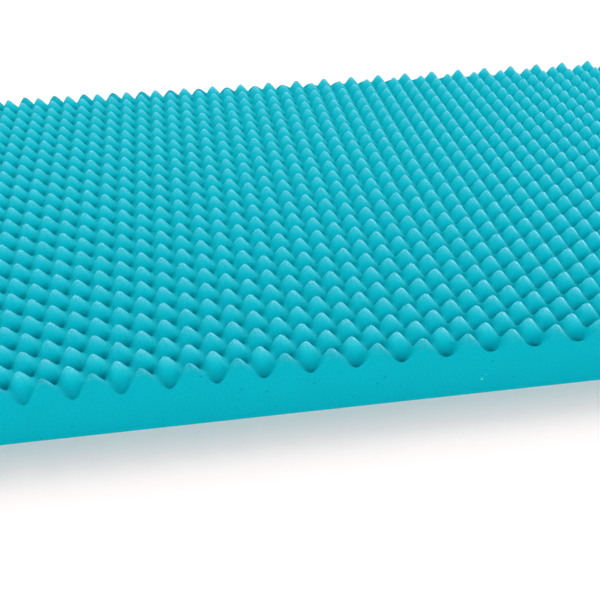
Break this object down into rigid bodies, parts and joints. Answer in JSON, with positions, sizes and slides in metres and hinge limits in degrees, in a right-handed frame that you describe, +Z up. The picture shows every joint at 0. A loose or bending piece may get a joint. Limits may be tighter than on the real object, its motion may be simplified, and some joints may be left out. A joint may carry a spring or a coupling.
{
  "type": "egg-crate foam mattress",
  "caption": "Flat foam slab with an egg-crate top of rounded bumps and pits, plain cut sides and a flat underside, to sleep or lie on.",
  "frame": {"origin": "middle of the flat underside", "axes": "+X along the long front edge, +Y from the front cut face to the back one, +Z up through the bumps"},
  "size_m": [1.9, 1, 0.104],
  "materials": {
    "foam": "matt turquoise open-cell foam, fine cells on the cut faces"
  },
  "bodies": {
    "root": {"foam_slab": "foam"}
  },
  "joints": []
}
